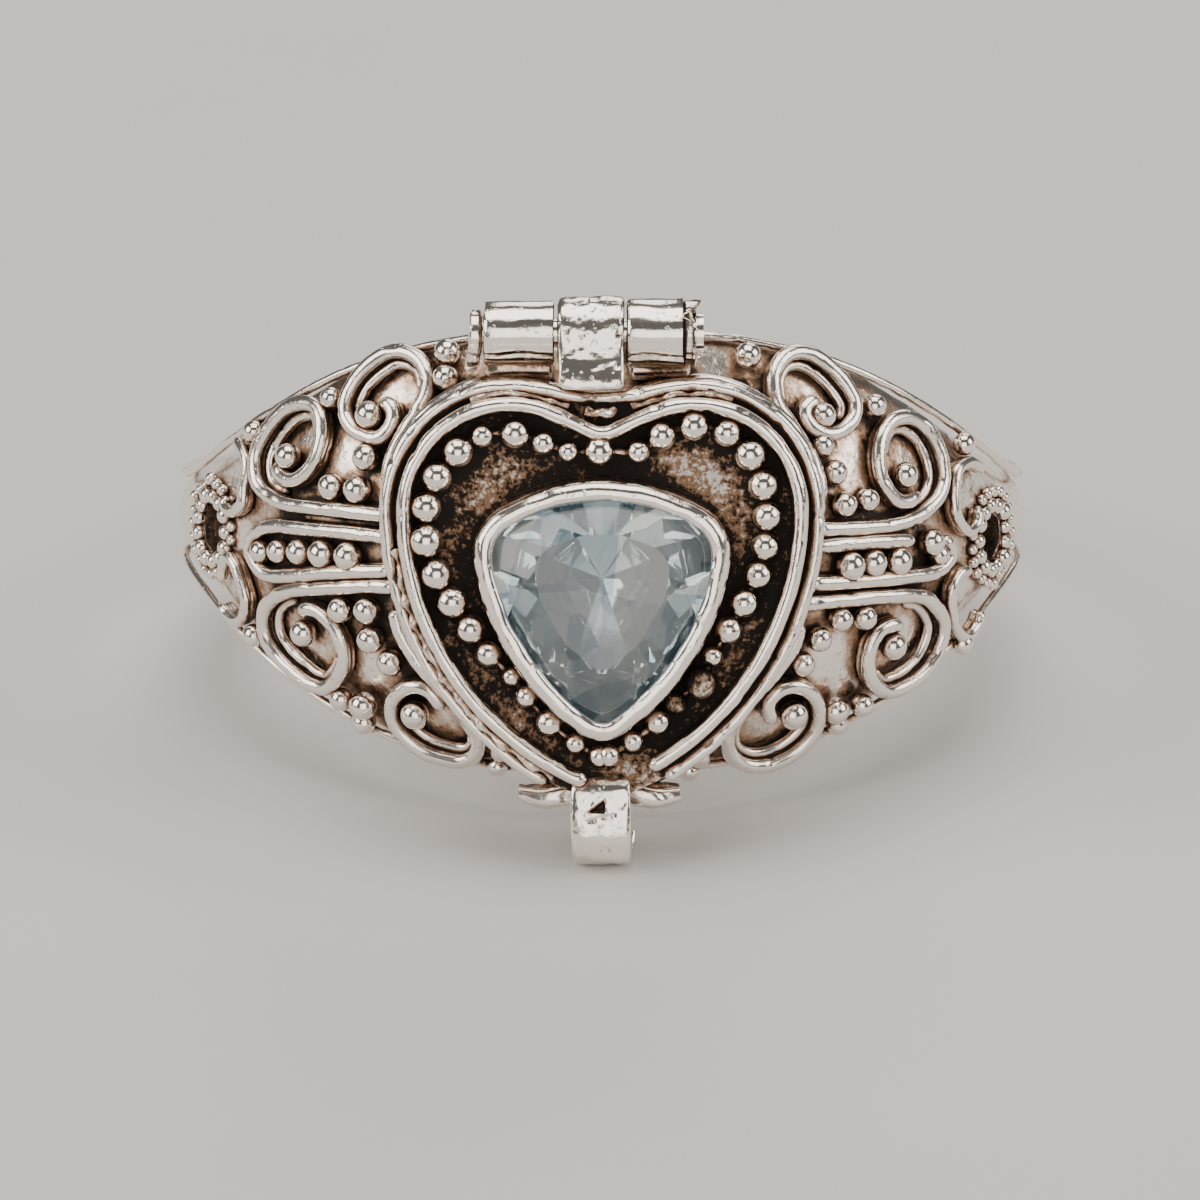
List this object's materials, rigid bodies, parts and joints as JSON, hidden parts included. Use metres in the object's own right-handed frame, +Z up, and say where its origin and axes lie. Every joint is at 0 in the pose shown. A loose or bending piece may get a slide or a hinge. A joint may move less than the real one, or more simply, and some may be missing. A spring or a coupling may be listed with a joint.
{
  "type": "poison ring",
  "caption": "Heart-topped silver poison ring with a bezel-set trillion stone on a hinged lid, a hook clasp, and shoulders covered in scroll wires and granules, lying at rest.",
  "frame": {"origin": "centre of the footprint, on the surface the ring lies on", "axes": "+Z up; +X along the hinge, to the right of someone who looks at the heart face; -Y towards the face"},
  "size_m": [0.0222, 0.0246, 0.0137],
  "materials": {
    "silver": "cast and soldered sterling silver, oxidised dark in the recesses and polished on the high spots",
    "polished_silver": "polished silver wire",
    "blue_topaz": "faceted pale blue transparent stone"
  },
  "bodies": {
    "ring": {"ring_body": "silver", "hinge_pin": "polished_silver"},
    "lid": {"lid": "silver", "stone": "blue_topaz"}
  },
  "joints": [
    {"name": "lid_hinge", "type": "hinge", "parent": "ring", "child": "lid", "pos_m": [0, -0.00746, 0.01278], "axis": [-1, 0, 0], "range_deg": [0, 110]}
  ]
}
